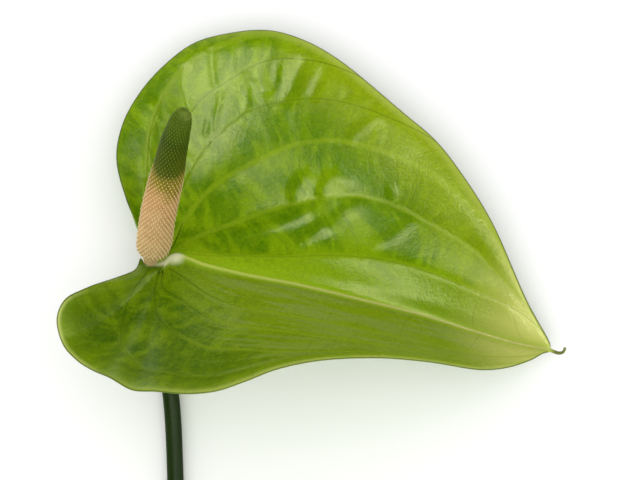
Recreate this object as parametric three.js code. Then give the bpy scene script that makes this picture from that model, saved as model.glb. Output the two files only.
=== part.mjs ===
// A cut green flamingo flower, laid down on its stem: a heart-shaped spathe folded up along its midrib,
// a spadix crowded with tiny florets, and a plain round stem. Millimetres, +Z up, on the surface at z = 0.
// Every shape is laid out from the neck, the point where stem, spathe and spadix meet.

import * as THREE from 'three';
import { mergeGeometries, mergeVertices } from 'three/addons/utils/BufferGeometryUtils.js';

const { clamp, degToRad, lerp, mapLinear, smoothstep } = THREE.MathUtils;

// Driving dimensions
const NECK = new THREE.Vector3(-45.86, 80.61, 14.38); // from the middle of the ground the flower covers
const CLEARANCE = 0.35; // between neighbouring pieces

const STEM_RADIUS_CUT = 2.6;
const STEM_RADIUS_MID = 2.35;
const STEM_RADIUS_NECK = 2.85;
const STEM_FLARE_SHARE = 0.05; // how far down the stem its flare below the neck reaches
const STEM_SWELL_SHARE = 0.3; // where it starts to thicken towards the cut
const STEM_SIDES = 14;
const STEM_STEPS = 26;

const BLADE = 0.8; // thickness of the spathe
const BLADE_ROWS = 58; // from the notch to the tip, in each half
const BLADE_CELL = 2.5;
const TAIL_ROWS = 6;
const TAIL_HALF_WIDTH = 0.55;
const TAIL_END_HALF_WIDTH = 0.28;
const NECK_RISE = degToRad(38); // slope of the stem's end, which the flat middle of the spathe covers
const NECK_RADIUS = 3.2; // of that flat middle
const NECK_RINGS = 2;
const NOTCH_ANGLE = degToRad(118); // from the midrib round the neck to the notch
const NEAR_WRAP = degToRad(97); // how much further round the near half reaches
const WRAP_POWER = 6; // how close to the notch that extra reach begins
const FAN_SHARE = 0.4; // share of the margin whose rows fan out from the neck
const FOOT_POWER = 1.25; // how the other rows crowd towards the neck along the midrib
const COLUMN_POWER = 1.3; // how the columns crowd towards the midrib
const SAG_CHANGE = [0.4, 0.95]; // share of the margin where the sag goes from the lobe's to the tip's

const KEEL_HEIGHT = 1.3; // rib under the midrib
const KEEL_WIDTH = 1.6;
const KEEL_FADE = 40; // length over which it thins out towards the tip
const KEEL_START = [3, 9]; // distance from the neck where it rises
const CALLUS_CENTRE = new THREE.Vector3(6.3, 1.7, -0.8); // swelling at the midrib's base
const CALLUS_HEIGHT = 0.9;
const CALLUS_RADIUS = 3.2;
const RIM_SWELL = 0.8; // the blade rises just inside its margin, which so rolls back
const RIM_WIDTH = 6;
const RELIEF_START = [8, 30]; // distance from the neck where veins and rim begin to show

const SPADIX_FLORETS_ROUND = 26;
const SPADIX_FLORETS_LONG = 30;
const FLORET_HEIGHT = 0.6;

const ARC_DIVISIONS = 800; // how finely the length along a curve is measured
const LINE_POINTS = 60; // of a curve that distances are measured to
const WELD = 1e-3; // points closer than this are one

// Outlines, from the neck
// The far half of the spathe lies low, and the near half stands up over the stem.
const FAR_MARGIN = [
  [-2.2, 6.6, -3.4], [-4.7, 12.5, -3], [-8, 20.3, -1.2], [-10.4, 30.5, -0.5], [-9.1, 39.9, -1.3],
  [-4.9, 48.9, -2.5], [1.9, 57.6, -3.7], [11.1, 65, -4.5], [21.8, 68.1, -4.8], [32.3, 68.8, -4.7],
  [41.5, 66.2, -4.2], [51.5, 60.5, -3.4], [71, 43.8, -2], [80, 35.8, -2], [88, 25.2, -2.3],
  [95.7, 12.5, -3.2], [105.4, -9.5, -5.5], [111.9, -21.4, -8],
];
const NEAR_MARGIN = [
  [-3.2, 2.1, -0.6], [-4, -0.2, 0.2], [-4.8, -1.7, 1.8], [-9, -4.4, 6.5], [-17.5, -10, 20],
  [-22.3, -13.6, 23.5], [-24.3, -18.6, 23], [-22.8, -25.2, 21], [-18.8, -30, 24.5], [-13.8, -33.8, 31.5],
  [-8.5, -36.8, 39], [-2, -40.7, 44], [4, -41.3, 46.5], [12, -42.2, 48.5], [20, -41.6, 49.5],
  [27.5, -39.1, 49.5], [35.5, -35.7, 47.5], [46, -33, 44.3], [62, -31.2, 37], [76, -31.1, 28.5],
  [91, -31.2, 12.5], [99.3, -29.2, 2.5], [106, -26.3, -4], [109.8, -24, -6.8],
];
const MIDRIB = [
  [6.8, 1.9, -0.8], [10, 1.7, -1.4], [13.8, 0.4, -2.1], [24.5, -2, -4.6], [41.4, -4.8, -8.2],
  [58.4, -8.4, -10.9], [75.4, -12.4, -12.4], [89.5, -16.7, -12.8], [102.1, -20.5, -11.5],
  [111.8, -22.8, -8.8],
];
const TAIL = [
  [111.8, -22.8, -8.8], [113.4, -23.5, -8.2], [115, -24, -7], [116.1, -23.8, -6], [116.6, -22.9, -4.8],
];

// How deep each half sags below the chord from midrib to margin, as a share of the chord, and how far
// across the blade it is deepest
const FAR_SAG = { lobe: 0.18, tip: 0, peak: 0.36, direction: new THREE.Vector3(0, -0.1, -0.995) };
const NEAR_SAG = { lobe: 0.09, tip: 0.09, peak: 0.5, direction: new THREE.Vector3(0, -0.74, -0.67) };

// Main veins, from the midrib outwards: how far each rises as a ridge or, below 0, sinks as a trough,
// how wide its slopes are, and its path as share of the margin from notch to tip and share of the way
// from midrib to margin
const FAR_VEINS = [
  {
    height: 1.1,
    width: 4,
    path: [[0.4, 0.02], [0.5, 0.045], [0.6, 0.12], [0.66, 0.2], [0.74, 0.31], [0.85, 0.44], [0.92, 0.69]],
  },
  {
    height: -1.1,
    width: 5,
    path: [
      [0.4, 0.03], [0.44, 0.09], [0.51, 0.26], [0.565, 0.395],
      [0.65, 0.562], [0.775, 0.668], [0.88, 0.825],
    ],
  },
  {
    height: 0.6,
    width: 5,
    path: [
      [0.34, 0.03], [0.385, 0.18], [0.43, 0.34], [0.487, 0.505],
      [0.542, 0.655], [0.61, 0.765], [0.72, 0.863],
    ],
  },
  {
    height: 0.3,
    width: 2.5,
    path: [
      [0.28, 0.05], [0.33, 0.29], [0.385, 0.53], [0.438, 0.665],
      [0.505, 0.785], [0.56, 0.867], [0.638, 0.948],
    ],
  },
  {
    height: 0.2,
    width: 2,
    path: [
      [0.22, 0.05], [0.28, 0.39], [0.352, 0.735], [0.395, 0.8],
      [0.443, 0.878], [0.5, 0.94], [0.557, 0.985],
    ],
  },
  {
    height: 0.4,
    width: 2.5,
    path: [
      [0.1, 0.1], [0.17, 0.4], [0.212, 0.615], [0.247, 0.805],
      [0.312, 0.91], [0.388, 0.96], [0.46, 0.99],
    ],
  },
];
const NEAR_VEINS = [
  {
    height: -0.3,
    width: 2.5,
    path: [[0.4, 0.02], [0.475, 0.135], [0.55, 0.255], [0.64, 0.33], [0.72, 0.4], [0.85, 0.5], [0.95, 0.7]],
  },
  {
    height: -0.3,
    width: 2.5,
    path: [
      [0.36, 0.04], [0.435, 0.2], [0.505, 0.36], [0.575, 0.46],
      [0.66, 0.565], [0.78, 0.7], [0.9, 0.85],
    ],
  },
  {
    height: -0.3,
    width: 2.5,
    path: [
      [0.3, 0.05], [0.383, 0.28], [0.435, 0.445], [0.478, 0.55],
      [0.53, 0.625], [0.6, 0.8], [0.7, 0.9],
    ],
  },
  {
    height: -0.3,
    width: 2.5,
    path: [
      [0.12, 0.05], [0.198, 0.265], [0.258, 0.455], [0.32, 0.66],
      [0.4, 0.78], [0.48, 0.82], [0.56, 0.88],
    ],
  },
];

// Stem, from below its upper end down to the surface and along it to the cut
const STEM_PATH = [
  [0.5, -5, -3.8], [1.4, -12, -7.7], [2.9, -22, -10.6], [5.3, -38, -11.88], [6.7, -64, -11.98],
  [8, -100, -11.93], [8.6, -150, -11.83], [7.2, -195, -11.78], [4.4, -230, -11.73],
];
// Spadix: middle line from just in front of the spathe, and its outline as share of the length and radius
const SPADIX_AXIS = [
  [-0.45, 0.9, 1.3], [0.85, 4.7, 7.3], [2.85, 12.1, 18.8], [5.7, 19.6, 30.3], [8.3, 26.9, 41.6],
  [11.3, 33.3, 51.3],
];
const SPADIX_OUTLINE = [
  [0, 2], [0.045, 2.3], [0.06, 3.4], [0.077, 4.35], [0.1, 4.85], [0.16, 5.05], [0.36, 4.95], [0.59, 4.75],
  [0.81, 4], [0.92, 3.3], [0.965, 2.6], [0.99, 1.4], [1, 0],
];

const toVectors = (points) => points.map((point) => new THREE.Vector3(...point));

function curveThrough(points) {
  const curve = new THREE.CatmullRomCurve3(points, false, 'centripetal');
  curve.arcLengthDivisions = ARC_DIVISIONS;
  return curve;
}

function neckPoint(angle) {
  const towardsFarHalf = new THREE.Vector3(0, Math.sin(NECK_RISE), -Math.cos(NECK_RISE));
  return towardsFarHalf
    .multiplyScalar(NECK_RADIUS * Math.sin(angle))
    .add(new THREE.Vector3(NECK_RADIUS * Math.cos(angle), 0, 0));
}

function tailSide(side, share) {
  return new THREE.Vector3(0, side * lerp(TAIL_HALF_WIDTH, TAIL_END_HALF_WIDTH, share), 0);
}

// One half of the spathe: side +1 is the far half, -1 the near half; wrap is its extra reach round the neck
function makeHalf(side, wrap, margin, sag) {
  const tip = new THREE.Vector3(...TAIL[0]).add(tailSide(side, 0));
  const notch = neckPoint(side * (NOTCH_ANGLE + wrap));
  return {
    side,
    wrap,
    sag,
    margin: curveThrough([notch, ...toVectors(margin), tip]),
    midrib: curveThrough([neckPoint(0), ...toVectors(MIDRIB)]),
  };
}

function footPoint(half, along) {
  if (along >= FAN_SHARE) {
    return half.midrib.getPointAt(((along - FAN_SHARE) / (1 - FAN_SHARE)) ** FOOT_POWER);
  }
  const left = 1 - along / FAN_SHARE;
  return neckPoint(half.side * (NOTCH_ANGLE * left + half.wrap * left ** WRAP_POWER));
}

// A point of the smooth blade, along the margin from notch to tip and across from midrib to margin
function bladePoint(half, along, across) {
  const foot = footPoint(half, along);
  const edge = half.margin.getPointAt(along);
  const { lobe, tip, peak, direction } = half.sag;
  const profile = (across / peak) * ((1 - across) / (1 - peak)) ** ((1 - peak) / peak);
  const depth = lerp(lobe, tip, smoothstep(along, ...SAG_CHANGE)) * foot.distanceTo(edge) * profile;
  return foot.lerp(edge, across).addScaledVector(direction, depth);
}

// Points from the midrib, or from the middle of the neck, out to the margin
function bladeRow(half, along) {
  const foot = footPoint(half, along);
  const width = foot.distanceTo(half.margin.getPointAt(along));
  const columns = Math.max(1, Math.round(width / BLADE_CELL));
  const row = [];
  if (along < FAN_SHARE) {
    for (let i = 0; i < NECK_RINGS; i += 1) row.push(foot.clone().multiplyScalar(i / NECK_RINGS));
  }
  if (along === 0) return [...row, foot];
  for (let i = 0; i <= columns; i += 1) row.push(bladePoint(half, along, (i / columns) ** COLUMN_POWER));
  return row;
}

function tailRows(half) {
  const curve = curveThrough(toVectors(TAIL));
  const rows = [];
  for (let i = 1; i <= TAIL_ROWS; i += 1) {
    const middle = curve.getPointAt(i / TAIL_ROWS);
    rows.push([middle, middle.clone().add(tailSide(half.side, i / TAIL_ROWS))]);
  }
  return rows;
}

// Triangles between two rows that may differ in their number of points
function zipRows(rowA, rowB, flip, out) {
  let a = 0;
  let b = 0;
  while (a < rowA.length - 1 || b < rowB.length - 1) {
    const nextA = (a + 1) / Math.max(1, rowA.length - 1);
    const nextB = (b + 1) / Math.max(1, rowB.length - 1);
    const stepA = b === rowB.length - 1 || (a < rowA.length - 1 && nextA <= nextB);
    const third = stepA ? rowA[a + 1] : rowB[b + 1];
    out.push(...(flip ? [rowA[a], third, rowB[b]] : [rowA[a], rowB[b], third]));
    if (stepA) a += 1;
    else b += 1;
  }
}

// A welded surface from corner points, three to a triangle, without triangles that have no area
function surfaceOf(corners) {
  const positions = [];
  for (let i = 0; i < corners.length; i += 3) {
    const [a, b, c] = corners.slice(i, i + 3);
    const hasArea = a.distanceTo(b) > WELD && b.distanceTo(c) > WELD && c.distanceTo(a) > WELD;
    if (hasArea) positions.push(...a.toArray(), ...b.toArray(), ...c.toArray());
  }
  const geometry = new THREE.BufferGeometry();
  geometry.setAttribute('position', new THREE.Float32BufferAttribute(positions, 3));
  return mergeVertices(geometry, WELD);
}

function halfSurface(half) {
  const rows = [];
  for (let i = 0; i <= BLADE_ROWS; i += 1) rows.push(bladeRow(half, i / BLADE_ROWS));
  rows.push(...tailRows(half));
  const corners = [];
  for (let i = 0; i < rows.length - 1; i += 1) zipRows(rows[i], rows[i + 1], half.side < 0, corners);
  return surfaceOf(corners);
}

function distanceToLines(point, lines) {
  const nearest = new THREE.Vector3();
  let best = Infinity;
  for (const line of lines) {
    for (let i = 0; i < line.length - 1; i += 1) {
      new THREE.Line3(line[i], line[i + 1]).closestPointToPoint(point, true, nearest);
      best = Math.min(best, nearest.distanceTo(point));
    }
  }
  return best;
}

// Moves every point of a welded surface along its normal by the height the function gives
function displace(geometry, heightAt) {
  geometry.computeVertexNormals();
  const position = geometry.getAttribute('position');
  const normal = geometry.getAttribute('normal');
  const point = new THREE.Vector3();
  const direction = new THREE.Vector3();
  for (let i = 0; i < position.count; i += 1) {
    point.fromBufferAttribute(position, i);
    direction.fromBufferAttribute(normal, i);
    point.addScaledVector(direction, heightAt(point));
    position.setXYZ(i, ...point.toArray());
  }
  geometry.deleteAttribute('normal');
  return geometry;
}

// Closes a blade round a middle surface; both faces are split alike and a strip closes the edge
function thicken(surface, frontExtra, backExtra) {
  const front = displace(surface.clone(), (point) => BLADE / 2 + frontExtra(point));
  const back = displace(surface.clone(), (point) => -BLADE / 2 - backExtra(point));
  const index = surface.index.array;
  const count = surface.getAttribute('position').count;
  const edges = new Set();
  const triangles = [];
  for (let i = 0; i < index.length; i += 3) {
    const corners = [index[i], index[i + 1], index[i + 2]];
    triangles.push(...corners, corners[2] + count, corners[1] + count, corners[0] + count);
    corners.forEach((corner, k) => edges.add(`${corner} ${corners[(k + 1) % 3]}`));
  }
  for (const edge of edges) {
    const [a, b] = edge.split(' ').map(Number);
    if (!edges.has(`${b} ${a}`)) triangles.push(b, a, a + count, b, a + count, b + count);
  }
  const positions = [...front.getAttribute('position').array, ...back.getAttribute('position').array];
  const solid = new THREE.BufferGeometry();
  solid.setAttribute('position', new THREE.Float32BufferAttribute(positions, 3));
  solid.setIndex(triangles);
  return solid;
}

function makeVeins(half, veins) {
  return veins.map(({ height, width, path }) => {
    const curve = curveThrough(path.map(([along, across]) => bladePoint(half, along, across)));
    return { height, width, line: curve.getPoints(LINE_POINTS) };
  });
}

function spatheGeometry() {
  const far = makeHalf(1, 0, FAR_MARGIN, FAR_SAG);
  const near = makeHalf(-1, NEAR_WRAP, NEAR_MARGIN, NEAR_SAG);
  const veins = [...makeVeins(far, FAR_VEINS), ...makeVeins(near, NEAR_VEINS)];
  const margins = [far, near].map((half) => half.margin.getSpacedPoints(2 * LINE_POINTS));
  const midrib = [far.midrib.getSpacedPoints(LINE_POINTS)];
  const relief = (point) => {
    let rise = 0;
    for (const { height, width, line } of veins) {
      rise += height * Math.exp(-distanceToLines(point, [line]) / width);
    }
    const inwards = clamp(distanceToLines(point, margins) / RIM_WIDTH, 0, 1);
    const rim = RIM_SWELL * Math.sin((Math.PI / 2) * inwards);
    return smoothstep(point.length(), ...RELIEF_START) * (rim + rise * inwards);
  };
  const callus = (point) => {
    const away = point.distanceTo(CALLUS_CENTRE) / CALLUS_RADIUS;
    return CALLUS_HEIGHT * Math.exp(-(away ** 2));
  };
  const keel = (point) => {
    const aside = distanceToLines(point, midrib) / KEEL_WIDTH;
    const fade = clamp((TAIL[0][0] - point.x) / KEEL_FADE, 0, 1);
    return KEEL_HEIGHT * fade * smoothstep(point.length(), ...KEEL_START) * Math.exp(-(aside ** 2));
  };
  const surface = mergeVertices(mergeGeometries([halfSurface(far), halfSurface(near)]), WELD);
  return thicken(displace(surface, relief), callus, keel);
}

// A closed round body along a curve, with a radius for every share of its length and angle round it.
// Its squares are split along alternate diagonals, so every second point can stand up by itself.
function roundBody(curve, steps, sides, radiusAt) {
  const frames = curve.computeFrenetFrames(steps, false);
  const rings = [];
  for (let i = 0; i <= steps; i += 1) {
    const centre = curve.getPointAt(i / steps);
    const ring = [];
    for (let k = 0; k < sides; k += 1) {
      const angle = (2 * Math.PI * k) / sides;
      const radius = radiusAt(i / steps, k, i);
      ring.push(centre.clone()
        .addScaledVector(frames.normals[i], radius * Math.cos(angle))
        .addScaledVector(frames.binormals[i], radius * Math.sin(angle)));
    }
    ring.push(ring[0]);
    rings.push(ring);
  }
  const corners = [];
  for (let i = 0; i < steps; i += 1) {
    for (let k = 0; k < sides; k += 1) {
      const [a, b] = [rings[i][k], rings[i][k + 1]];
      const [c, d] = [rings[i + 1][k], rings[i + 1][k + 1]];
      corners.push(...((i + k) % 2 === 0 ? [a, b, c, b, d, c] : [a, b, d, a, d, c]));
    }
  }
  const start = curve.getPointAt(0);
  const end = curve.getPointAt(1);
  for (let k = 0; k < sides; k += 1) {
    corners.push(start, rings[0][k + 1], rings[0][k]);
    corners.push(end, rings[steps][k], rings[steps][k + 1]);
  }
  return surfaceOf(corners);
}

function stemGeometry() {
  const behindSpathe = new THREE.Vector3(0, -Math.cos(NECK_RISE), -Math.sin(NECK_RISE));
  const end = behindSpathe.multiplyScalar(BLADE / 2 + CLEARANCE);
  const curve = curveThrough([end, ...toVectors(STEM_PATH)]);
  return roundBody(curve, STEM_STEPS, STEM_SIDES, (share) => {
    const flare = 1 - smoothstep(share, 0, STEM_FLARE_SHARE);
    const swell = smoothstep(share, STEM_SWELL_SHARE, 1);
    return STEM_RADIUS_MID
      + (STEM_RADIUS_NECK - STEM_RADIUS_MID) * flare
      + (STEM_RADIUS_CUT - STEM_RADIUS_MID) * swell;
  });
}

function spadixRadius(share) {
  const next = Math.max(1, SPADIX_OUTLINE.findIndex(([at]) => at >= share));
  const [atA, radiusA] = SPADIX_OUTLINE[next - 1];
  const [atB, radiusB] = SPADIX_OUTLINE[next];
  return mapLinear(share, atA, atB, radiusA, radiusB);
}

// The florets stand in a diamond lattice: every second point of the grid is the top of one
function spadixGeometry() {
  const curve = curveThrough(toVectors(SPADIX_AXIS));
  return roundBody(curve, 2 * SPADIX_FLORETS_LONG, 2 * SPADIX_FLORETS_ROUND, (share, k, i) => {
    const radius = spadixRadius(share);
    const isFloret = (i + k) % 2 === 0 || radius < 2 * FLORET_HEIGHT;
    return isFloret ? radius : radius - FLORET_HEIGHT;
  });
}

function makePiece(name, geometry, material) {
  const piece = new THREE.Mesh(geometry, material);
  piece.name = name;
  geometry.computeVertexNormals();
  return piece;
}

const spatheGreen = new THREE.MeshStandardMaterial({ color: 0x84a82c, roughness: 0.35, metalness: 0 });
const spadixCream = new THREE.MeshStandardMaterial({ color: 0xc9a878, roughness: 0.7, metalness: 0 });
const stemGreen = new THREE.MeshStandardMaterial({ color: 0x2f4a1c, roughness: 0.45, metalness: 0 });

const flower = new THREE.Group();
flower.position.copy(NECK);
flower.add(makePiece('spathe', spatheGeometry(), spatheGreen));
flower.add(makePiece('spadix', spadixGeometry(), spadixCream));
flower.add(makePiece('stem', stemGeometry(), stemGreen));

export default flower;
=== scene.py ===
# A cut green flamingo flower lying on a pale surface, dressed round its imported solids.
# Shapes are worked out in millimetres from the neck, where stem, spathe and spadix meet.
import math

import bpy
import numpy as np
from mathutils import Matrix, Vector


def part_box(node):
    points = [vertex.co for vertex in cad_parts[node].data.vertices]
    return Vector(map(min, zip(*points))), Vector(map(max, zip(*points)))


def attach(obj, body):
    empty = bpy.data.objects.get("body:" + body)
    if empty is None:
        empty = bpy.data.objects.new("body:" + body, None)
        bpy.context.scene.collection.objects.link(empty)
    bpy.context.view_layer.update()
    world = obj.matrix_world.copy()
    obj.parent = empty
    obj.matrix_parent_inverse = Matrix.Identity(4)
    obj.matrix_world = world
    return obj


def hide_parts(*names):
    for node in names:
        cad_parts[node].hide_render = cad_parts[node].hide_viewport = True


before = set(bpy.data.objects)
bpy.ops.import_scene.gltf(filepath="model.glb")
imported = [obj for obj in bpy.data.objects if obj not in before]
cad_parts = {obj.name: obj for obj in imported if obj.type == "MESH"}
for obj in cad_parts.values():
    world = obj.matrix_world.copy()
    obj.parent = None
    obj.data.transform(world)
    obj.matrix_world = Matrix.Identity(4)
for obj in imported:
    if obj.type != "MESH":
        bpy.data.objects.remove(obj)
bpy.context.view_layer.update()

MM = 0.001
NECK_IN_SPATHE_BOX = np.array([24.51, 42.53, 14.38])  # from the spathe's lowest corner
NECK = np.array(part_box("spathe")[0]) / MM + NECK_IN_SPATHE_BOX
RNG = np.random.default_rng(7)

# Spathe
NECK_RISE = math.radians(38)
NECK_RADIUS = 3.2
NECK_RINGS = 5
NOTCH_ANGLE = math.radians(118)
WRAP = {1: 0.0, -1: math.radians(97)}  # how much further round the neck each half reaches
WRAP_POWER = 6
FAN_SHARE = 0.4
FOOT_POWER = 1.25
BLADE = 0.7
BLADE_CELL = 0.8
CONTACT = 0.02  # height of the lowest point above the surface
BLADE_ROWS = 270
TAIL_HALF_WIDTH = 0.55
TAIL_END_HALF_WIDTH = 0.28
FAR_MARGIN = [
    [-2.2, 6.6, -3.4], [-4.7, 12.5, -3], [-8, 20.3, -1.2], [-10.4, 30.5, -0.5], [-9.1, 39.9, -1.3],
    [-4.9, 48.9, -2.5], [1.9, 57.6, -3.7], [11.1, 65, -4.5], [21.8, 68.1, -4.8], [32.3, 68.8, -4.7],
    [41.5, 66.2, -4.2], [51.5, 60.5, -3.4], [71, 43.8, -2], [80, 35.8, -2], [88, 25.2, -2.3],
    [95.7, 12.5, -3.2], [105.4, -9.5, -5.5], [111.9, -21.4, -8],
]
NEAR_MARGIN = [
    [-3.2, 2.1, -0.6], [-4, -0.2, 0.2], [-4.8, -1.7, 1.8], [-9, -4.4, 6.5], [-17.5, -10, 20],
    [-22.3, -13.6, 23.5], [-24.3, -18.6, 23], [-22.8, -25.2, 21], [-18.8, -30, 24.5], [-13.8, -33.8, 31.5],
    [-8.5, -36.8, 39], [-2, -40.7, 44], [4, -41.3, 46.5], [12, -42.2, 48.5], [20, -41.6, 49.5],
    [27.5, -39.1, 49.5], [35.5, -35.7, 47.5], [46, -33, 44.3], [62, -31.2, 37], [76, -31.1, 28.5],
    [91, -31.2, 12.5], [99.3, -29.2, 2.5], [106, -26.3, -4], [109.8, -24, -6.8],
]
MIDRIB = [
    [6.8, 1.9, -0.8], [10, 1.7, -1.4], [13.8, 0.4, -2.1], [24.5, -2, -4.6], [41.4, -4.8, -8.2],
    [58.4, -8.4, -10.9], [75.4, -12.4, -12.4], [89.5, -16.7, -12.8], [102.1, -20.5, -11.5],
    [111.8, -22.8, -8.8],
]
TAIL = [
    [111.8, -22.8, -8.8], [113.4, -23.5, -8.2], [115, -24, -7], [116.1, -23.8, -6], [116.6, -22.9, -4.8],
]
TAIL_STEPS = 10
SAG = {  # share of the width in the lobe and at the tip, how far across it is deepest, direction
    1: (0.18, 0.0, 0.36, np.array([0, -0.1, -0.995])),
    -1: (0.09, 0.09, 0.5, np.array([0, -0.74, -0.67])),
}

SAG_CHANGE = (0.4, 0.95)  # share of the margin over which it goes from the lobe's to the tip's

# Main veins, from the one nearest the midrib outwards: share of the margin, share of the way across
VEINS = {
    1: [
        [[0.4, 0.0], [0.5, 0.045], [0.6, 0.12], [0.66, 0.2],
         [0.74, 0.31], [0.85, 0.44], [0.915, 0.67], [0.985, 1]],
        [[0.38, 0.0], [0.44, 0.09], [0.51, 0.26], [0.565, 0.395],
         [0.65, 0.562], [0.775, 0.668], [0.88, 0.825], [0.96, 1]],
        [[0.33, 0.0], [0.385, 0.18], [0.43, 0.34], [0.487, 0.505],
         [0.542, 0.655], [0.61, 0.765], [0.72, 0.863], [0.86, 1]],
        [[0.27, 0.0], [0.33, 0.292], [0.385, 0.53], [0.438, 0.665],
         [0.505, 0.785], [0.56, 0.867], [0.638, 0.948], [0.7, 1]],
        [[0.2, 0.0], [0.28, 0.39], [0.352, 0.735], [0.395, 0.8], [0.443, 0.878], [0.5, 0.94], [0.57, 1]],
        [[0.08, 0.0], [0.17, 0.4], [0.212, 0.615], [0.247, 0.805],
         [0.312, 0.91], [0.388, 0.96], [0.47, 1]],
    ],
    -1: [
        [[0.4, 0.0], [0.475, 0.135], [0.55, 0.255], [0.64, 0.33],
         [0.72, 0.4], [0.85, 0.5], [0.95, 0.7], [0.985, 1]],
        [[0.35, 0.0], [0.435, 0.2], [0.505, 0.36], [0.575, 0.46],
         [0.66, 0.565], [0.78, 0.7], [0.9, 0.85], [0.96, 1]],
        [[0.28, 0.0], [0.383, 0.28], [0.435, 0.445], [0.478, 0.55],
         [0.53, 0.625], [0.6, 0.8], [0.7, 0.9], [0.82, 1]],
        [[0.1, 0.0], [0.198, 0.265], [0.258, 0.455], [0.32, 0.66],
         [0.4, 0.78], [0.48, 0.84], [0.56, 0.9], [0.66, 1]],
    ],
}
VEIN_DEPTHS = {  # below 0 a vein is a ridge
    1: [-1.1, 1.1, -0.6, -0.3, -0.2, -0.4],
    -1: [0.15, 0.15, 0.15, 0.15],
}
VEIN_WIDTHS = {  # of its slopes towards the midrib and towards the margin
    1: [[4, 1.5], [4, 5], [5, 5], [2.5, 2.5], [1, 2], [2.5, 2.5]],
    -1: [[2.5, 2.5], [2.5, 2.5], [2.5, 2.5], [2.5, 2.5]],
}
VEIN_PALENESS = {1: [0.5, 0.8, 0.9, 0.3, 0.2, 0.8], -1: [0.7, 0.7, 0.7, 0.4]}  # 0 is a dark thread
PALER_FROM_NECK = {1: [0, 12], -1: [18, 38]}  # distance over which a vein turns from dark to pale
BAND_TONES = {  # of the green between the main veins: 0 is dark, 1 is pale
    # The far half's first band, beside the midrib, is the palest: its own paler green, raised further as
    # painted light against the near half's shade.
    1: [1.1, 0.3, 0.4, 0.3, 0.5, 0.6, 0.35],
    -1: [1.0, 0.75, 0.5, 0.15, 0.25],
}
VEIN_ROUND = 0.15
CREASE_DEPTH = 0.05
CREASE_WIDTH = 0.4
CELL_LENGTH = 11.0  # between cross veins
CELL_RISE = {  # in each band between main veins
    1: [0.15, 0.1, 0.05, 0.4, 0.7, 0.9, 0.15],
    -1: [0.1, 0.08, 0.06, 0.06, 0.05],
}
CELL_FADE = 0.6  # share of that lost towards the tip
CELL_FADE_ALONG = (0.4, 0.7)
CELL_BASE = 0.4  # how far a cell's edge lies below the blade's smooth shape
CELL_SIZES = (0.3, 1.3)
CELL_KINDS = 64  # sizes drawn for each band, then repeated
CELL_CREST = 0.86  # share of the way between two cross veins where the blade is highest
CELL_WEDGE = 0.22  # how much earlier that is at the outer vein than at the inner one
CELL_SLANT = 0.7
CELL_STRAY = (  # of the cross veins, along x and along y: reach in cells, radians a mm, shift a band
    (0.16, 0.23, 1.3), (0.13, 0.31, 2.1),
)
NARROW_BAND = [4, 12]  # width of the band between two main veins where domes begin to show
RIM_SWELL = 0.8
RIM_WIDTH = 6.0
FOLD_WIDTH = 5.0  # how far beside the midrib the relief reaches its full height
CALM_NECK = (8, 30)  # how far from the neck it starts, and has its full height
EDGE_SHARE = 0.3  # of the blade's thickness, left at its edge
EDGE_WIDTH = 1.0
KEEL_HEIGHT = 1.3
KEEL_WIDTH = 1.6
KEEL_TAPER = 40  # length over which it dies away before the tail
KEEL_START = (3, 9)  # distance from the neck
RIB_HEIGHT = 0.3  # of the midrib on the front
RIB_WIDTH = 0.8
VEIN_RIDGE_HEIGHT = 0.25  # of the main veins on the back
VEIN_RIDGE_WIDTH = 0.6
VEIN_RIDGE_START = (1, 5)  # distance from the margin
CALLUS_CENTRE = np.array([6.3, 1.7, -0.8])
CALLUS_HEIGHT = 0.9
CALLUS_RADIUS = 3.2
CALLUS_SPREAD = 2  # how many times wider its pale patch is round the centre than along the ridge
PUCKERS = [  # of the far half, seen from above: line, height (below 0 a groove), width left and right of it
    ([[16, 63], [16.2, 58.5], [16.8, 54]], -0.35, 1.0, 1.0),
    ([[7.5, 57.5], [7, 52.5], [9, 47.5]], -0.5, 1.8, 1.8),
    ([[35, 58.5], [34.5, 54.5]], -0.35, 0.8, 0.8),
    ([[33.5, 52], [29, 51]], -0.3, 0.8, 0.8),
    ([[26.5, 51.5], [26, 47.5]], -0.22, 0.9, 0.9),
    ([[18.5, 51], [18, 47]], -0.25, 0.9, 0.9),
    ([[17.5, 47], [17, 42.5]], -0.25, 0.9, 0.9),
    ([[15, 44], [14, 40.5]], -0.3, 0.9, 0.9),
    ([[42.5, 59], [37, 49]], -0.6, 2.2, 2.2),
    ([[48.5, 57], [45, 50]], -0.4, 1.5, 1.5),
    ([[40, 22], [41, 24.5], [42.5, 27]], 0.9, 1.8, 6),
    ([[48, 22.5], [49, 25], [50.5, 27]], 1.1, 1.6, 7),
    ([[67.5, 23], [68, 22]], 0.3, 1.5, 1.5),
    ([[24.5, 10.5], [30.5, 12.5], [37.5, 14.5], [43.5, 17.5]], 1.1, 1.2, 2.4),
    ([[41.5, 8], [44, 9.8], [48, 13]], 1.0, 1.4, 2.2),
    ([[63, 7.5], [67, 9], [70, 11], [73, 13.5]], 0.3, 1.8, 1.8),
    ([[50, 13], [54, 17], [58, 19.5]], 0.35, 1.5, 3),
    ([[56.5, 38], [60, 40.5], [63.5, 43]], 0.3, 1.5, 1.5),
    ([[-1, 47], [-2, 39.5], [-2.5, 27]], 0.8, 2.2, 2.2),
]
PUCKER_END = 2.5  # how far past its ends a pucker fades out
CALLUS_RIDGE = [[-0.9, -1.2, 0], [2, -0.9, 0], [4.4, 0.6, -0.5], [6.4, 1.7, -0.9]]  # along its pale patch

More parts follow.
